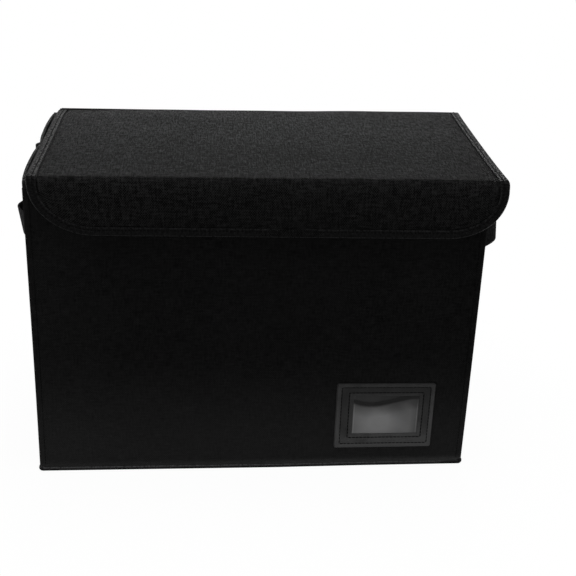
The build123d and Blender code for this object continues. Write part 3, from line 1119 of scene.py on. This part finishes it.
labelShape = {
    "corner": 2.0 * mm,
    "windowCorner": 0.8 * mm,
    "lap": 3 * mm,
    "stitchAt": {"Outer": 0.3, "Inner": 0.74},
    "stitchOut": 1.0 * mm,
    "stitch": (3.6 * mm, 3.1 * mm, 1.0 * mm),
    # Height in millimetres over the width: a turned hem, two pulled-in stitch lines and a rolled window edge
    "profile": [
        (0, 0.3), (0.02, 1.3), (0.06, 2.1), (0.14, 2.15), (0.2, 2.0), (0.25, 1.8), (0.28, 1.3), (0.3, 0.8),
        (0.33, 1.2), (0.37, 1.4), (0.5, 1.5), (0.65, 1.45), (0.7, 1.3), (0.73, 0.8), (0.75, 0.8),
        (0.78, 1.3), (0.86, 1.55), (0.95, 1.4), (1.0, 0.9), (1.0, 0.4), (0.5, 0.35), (0, 0.1),
    ],
    # Painted light across the band: painted highlights on the turned hem and on the rolled window edge
    "wear": ([0.0, 0.26, 0.34, 0.7, 0.8, 1.0], [2.1, 1.8, 0.9, 0.9, 1.3, 1.3]),
}


def rectangleLoop(low, high, radius):
    path, _ = roundedLoop((high.x - low.x) / 2, (high.z - low.z) / 2, radius, 30, 24, 4)
    return path[:, [0, 2, 1]] + np.array([(low.x + high.x) / 2, 0, (low.z + high.z) / 2])


def makeLabelHolder(low, high, windowLow, windowHigh):
    outside = rectangleLoop(low, high, labelShape["corner"])
    inside = rectangleLoop(windowLow, windowHigh, labelShape["windowCorner"])
    share, height = np.array(labelShape["profile"]).T[..., None]
    ring = outside * (1 - share[..., None]) + inside * share[..., None]
    ring[..., 1] = -halfY - height * mm - 0.12 * mm * ripple(ring[..., 0] * 3, ring[..., 2] * 3, 1)
    holder = ringLoft("labelHolder", np.transpose(ring, (1, 0, 2)), loop=True)
    lower = (high.z - ring[..., 2]) / (high.z - low.z)
    toRight = (ring[..., 0] - low.x) / (high.x - low.x)
    # Painted light: lighter on the hems, lighter towards the bottom as from light that the floor throws up,
    # and a little lighter towards the right
    wear = np.interp(share, *labelShape["wear"]) * (0.4 + 0.85 * lower) * (0.92 + 0.16 * toRight)
    # Paler between the stitch lines below the window, most of all at the right
    between = np.interp(share, [0.26, 0.34, 0.7, 0.8], [0, 1, 1, 0]) * clamped((lower - 0.78) / 0.08)
    paint(holder, (wear * (1 + between * (0.4 + 0.5 * toRight**2))).T)
    dress(holder, "labelGrain", "front", ["label_frame"], "label_leather")

    for name, base in labelShape["stitchAt"].items():
        line = outside * (1 - base) + inside * base
        line[:, 1] = -halfY - labelShape["stitchOut"]
        sew(f"labelStitches{name}", np.concatenate([line, line[:1]]), -axisY, "front", *labelShape["stitch"])


# Film: bellied forward, with a soft roll that hangs in a cubic curve below its upper edge
def makeLabelFilm(windowLow, windowHigh):
    lap = labelShape["lap"]
    x = np.linspace(windowLow.x - lap, windowHigh.x + lap, 150)
    down = np.linspace(0, 1, 110)[:, None]
    place = (x - (windowLow.x + windowHigh.x) / 2) / ((windowHigh.x - windowLow.x) / 2)
    top, foot = windowHigh.z + lap, windowLow.z - lap
    z = top - down * (top - foot)
    rollZ = windowHigh.z - (7.6 - 7.1 * place - 4.1 * place**2 + 4.7 * place**3) * mm
    belly = 0.35 * clamped(1 - place**2) * np.sin(math.pi * down)
    lift = (0.2 + clamped(1 - place**4) * (belly + 0.35 * bell(z - rollZ, 1.8 * mm))) * mm
    outer = xyz(x, -halfY - 0.1 * mm - lift, z)
    film = sheetShell("labelFilm", outer, outer + axisY * 0.15 * mm, 60)
    # Painted reflection and shade: dim above the roll, dark along it, and below it bright, most of all left
    # of the middle, with a dim spot under the roll at the right, a dim right end and a bright line inside
    # both ends
    above = 1 / (1 + np.exp(-(z - rollZ) / (0.5 * mm)))
    fall = clamped((rollZ - z) / (14 * mm))
    blob = bell(place + 0.2, 0.6) * bell(down - 0.68, 0.33)
    spot = bell(place - 0.3, 0.35) * bell(down - 0.4, 0.14)
    bright = 0.4 + 0.3 * fall + 0.38 * blob - 0.12 * clamped(place) * (1 - fall)
    bright = bright - 0.15 * spot - 0.15 * clamped((place - 0.75) / 0.2)
    dim = 0.18 - 0.06 * clamped(place + 0.2)
    paintedReflection = bright * (1 - above) + dim * above - 0.8 * bell(z - rollZ, 1.9 * mm)
    border = np.minimum(windowHigh.x - x, x - windowLow.x)
    paintedReflection = paintedReflection + 0.25 * bell(border - 1.0 * mm, 0.35 * mm)
    paint(film, np.tile(clamped(paintedReflection).ravel(), 2))
    dress(film, "clearFilm", "front", ["label_window"], "label_film")


lap = Vector((labelShape["lap"], 0, labelShape["lap"]))
filmLow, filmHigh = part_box("label_window")
makeLabelHolder(*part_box("label_frame"), filmLow + lap, filmHigh - lap)
makeLabelFilm(filmLow + lap, filmHigh - lap)
print("label made")

# Webbing handles

strapShape = {
    "width": 26 * mm,
    "thick": 1.5 * mm,
    "edge": 0.6 * mm,
    "off": 0.5 * mm,
    "threadOff": 0.55 * mm,
    # From the root, from the end and from both edges
    "stitchIn": (2.5 * mm, 2 * mm, 3 * mm),
    "middleZ": 211 * mm,
    "end": 60 * mm,
    "rootEnd": 47 * mm,
    "left": {
        "drop": 0.0, "footBulge": 18 * mm, "topBulge": 22 * mm, "arch": 2.0, "foldSlant": 25, "keep": 0.34,
    },
    "right": {
        "drop": 3 * mm, "footBulge": 36.5 * mm, "topBulge": 34.5 * mm, "arch": 1.2, "foldSlant": 21,
        "keep": 0.2,
    },
}


# Half of a handle: a flat end sewn to the wall, and half of the loop, which stands out as a power of a sine.
def makeStrapHalf(side, sign, place, way):
    shape = strapShape[side]
    root, thick, edge = strapShape["rootEnd"], strapShape["thick"], strapShape["edge"]
    body, name = f"{side}_{place}", f"{side}Handle{place.title()}"
    middleZ = strapShape["middleZ"] - shape["drop"]
    section = ringShares(12, 1, 3)
    halfW = strapShape["width"] / 2
    up = section[:, 0] * (halfW - edge) + section[:, 2] * edge
    through = section[:, 1] * (thick / 2 - edge) + section[:, 3] * edge
    bulge = shape["footBulge"] + (shape["topBulge"] - shape["footBulge"]) * (up / halfW + 1) / 2
    rise = thick / 2 + strapShape["off"]

    def strapRings(bend, y):
        out = np.sin(bend * quarter) ** shape["arch"]
        ahead = unit(np.gradient(np.stack([out * 21 * mm, y], 1), axis=0))
        ahead[(bend == 1) | (bend <= 0.001)] = (0, -1)
        base = sideBow(y, middleZ) * (1 - out)
        x = base[:, None] + out[:, None] * bulge + rise - through * ahead[:, 1:]
        return xyz(sign * (halfX + x), way * (y[:, None] + through * ahead[:, :1]), middleZ + up)

    # Each side takes its own copy of the webbing; the right one is darker as painted shade
    end = ringLoft(f"{name}End", strapRings(np.zeros(8), np.linspace(strapShape["end"], root, 8)))
    dress(end, f"{side}Webbing", body, [f"{side}_handle_{place}_end"], "webbing")
    bend = np.linspace(0, 1, 34)
    rings = strapRings(bend, root * (1 - bend))
    rings[-1, :, 1] = 0.0
    loop = ringLoft(f"{name}Half", rings)
    sign * (halfX + rise + sideBow(root, middleZ))
    way * root
    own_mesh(loop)
    dress(loop, f"{side}Webbing", body, [f"{side}_handle_loop"] if place == "rear" else [], "webbing")

    # Box of stitches with a cross that holds the sewn end
    fromRoot, fromEnd, fromEdge = strapShape["stitchIn"]
    y0, y1 = root + fromRoot, strapShape["end"] - fromEnd
    z0, z1 = middleZ - halfW + fromEdge, middleZ + halfW - fromEdge
    corners = np.array([(y0, z0), (y1, z0), (y1, z1), (y0, z1), (y0, z0), (y1, z1), (y1, z0), (y0, z1)])
    fine = np.linspace(0, len(corners) - 1, 160)
    y, z = (np.interp(fine, np.arange(len(corners)), corners[:, k]) for k in (0, 1))
    thread = xyz(sign * (halfX + sideBow(y, middleZ) + thick + strapShape["threadOff"]), way * y, z)
    sew(f"{name}Stitches", thread, sign * axisX, body)


for side, sign in sides:
    for place, way in (("rear", 1), ("front", -1)):
        makeStrapHalf(side, sign, place, way)
print("handles made")

# Hook and loop pads: two on the front wall and two on the flap

padShape = {"length": 70 * mm, "edge": 0.6 * mm}
hookLow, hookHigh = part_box("hook_pads")


def makePads(node, body):
    low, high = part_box(node)
    levels = (low.z, low.z + hookHigh.z - hookLow.z)
    for number, start in enumerate((low.x, high.x - padShape["length"])):
        ranges = ((start, start + padShape["length"]), (low.y, high.y), levels)
        pad = ringLoft(f"{body}Pad{number}", slab(np.eye(3), ranges, padShape["edge"], 8, 16))
        dress(pad, "hookPile", body, [] if number else [node], "hook_and_loop")


makePads("loop_pads", "front")
makePads("hook_pads", "flap")

# Boards that no piece stands for stay as packed
for name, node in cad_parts.items():
    if name.endswith("_board"):
        node.data.materials.clear()
        node.data.materials.append(bpy.data.materials["greyBoard"])
print("pads and boards made")

# Floor, light and camera

studio = {
    "floorSize": 12.0,
    "floorZ": -0.0002,
    "shadowReach": (0.3, 0.6),
    "shadowDepth": 0.04,
    "worldLight": 0.22,
    # Each light: place, what it faces, width, depth and power of its panel
    "lights": {
        "topSoftbox": ((0.0, -0.1, 1.7), (0, -0.05, 0), 1.6, 1.2, 25.0),
        "backSoftbox": ((0.15, 1.7, 1.0), (0, 0, 0.25), 0.8, 0.4, 17.0),
        "lowStrip": ((-0.1, -0.85, 0.12), (0, -0.1, 0), 0.9, 0.14, 1.4),
        "frontFill": ((-0.6, -1.9, 1.2), (0, 0, 0.15), 1.6, 1.2, 0.6),
    },
}


# 1 for rays that end in the camera, directly or by way of a glossy or clear surface
def seenRays(tree):
    path = addNode(tree, "LightPath")
    seen = path.output("Is Camera Ray").math("MAXIMUM", path.output("Is Glossy Ray"))
    return seen.math("MAXIMUM", path.output("Is Transmission Ray"))


# Floor that keeps the shadow near the box and turns plain white farther out
def makeFloor():
    size = studio["floorSize"]
    corners = xyz([-size, size, size, -size], [-size, -size, size, size], studio["floorZ"])
    mesh = bpy.data.meshes.new("floor")
    mesh.from_pydata(corners.tolist(), [], [(0, 1, 2, 3)])
    floor = bpy.data.objects.new("floor", mesh)
    bpy.context.scene.collection.objects.link(floor)
    tree, shader = newMaterial("paleFloor", {
        "Base Color": (0.93, 0.93, 0.93, 1), "Roughness": 0.9, "Specular IOR Level": 0.0,
    })
    reach = addNode(tree, "VectorMath", {0: coords(tree, "Object")}, operation="LENGTH").output("Value")
    near, far = studio["shadowReach"]
    away = mapped(tree, reach, {1: near, 2: far}, interpolation_type="SMOOTHSTEP")
    depth = studio["shadowDepth"]
    share = (away * depth + (1 - depth)) * seenRays(tree)
    white = addNode(tree, "Emission", {"Color": (1, 1, 1, 1), "Strength": 1.0})
    mixed = addNode(tree, "MixShader", {0: share, 1: Wire(shader.outputs[0]), 2: white})
    fill(tree.nodes["Material Output"], {"Surface": mixed})
    mesh.materials.append(bpy.data.materials["paleFloor"])


def makeStage():
    makeFloor()
    world = bpy.data.worlds.new("studio")
    bpy.context.scene.world = world
    world.use_nodes = True
    tree = world.node_tree
    strength = mapped(tree, seenRays(tree), {3: studio["worldLight"], 4: 1.0})
    fill(tree.nodes["Background"], {"Color": (1, 1, 1, 1), "Strength": strength})
    for name, (place, target, sizeX, sizeY, power) in studio["lights"].items():
        light = bpy.data.lights.new(name, "AREA")
        light.shape = "RECTANGLE"
        light.size, light.size_y = sizeX, sizeY
        light.energy = power
        lamp = bpy.data.objects.new(name, light)
        lamp.location = place
        lamp.rotation_euler = (Vector(target) - Vector(place)).to_track_quat("-Z", "Y").to_euler()
        lamp.visible_camera = False
        bpy.context.scene.collection.objects.link(lamp)


# Camera found from the edges of the box in the photograph, whose frame is 576 pixels square
view = {
    "place": (-0.0455, -1.0, 0.5891),
    "turn": -4.62,
    "tilt": 24.21,
    "roll": 2.08,
    "focalPixels": 1105.4,
    "framePixels": 576,
    "sensorWidth": 36.0,
}


def makeCamera():
    camera = bpy.data.cameras.new("photoView")
    camera.sensor_width = view["sensorWidth"]
    camera.lens = camera.sensor_width * view["focalPixels"] / view["framePixels"]
    obj = bpy.data.objects.new("photoView", camera)
    turns = ((view["turn"], "Z"), (90 - view["tilt"], "X"), (view["roll"], "Z"))
    turn, tilt, roll = (Matrix.Rotation(math.radians(angle), 4, axis) for angle, axis in turns)
    obj.matrix_world = Matrix.Translation(view["place"]) @ turn @ tilt @ roll
    bpy.context.scene.collection.objects.link(obj)
    bpy.context.scene.camera = obj


makeStage()
makeCamera()
bpy.context.scene.view_settings.view_transform = "Standard"

print("scene made")
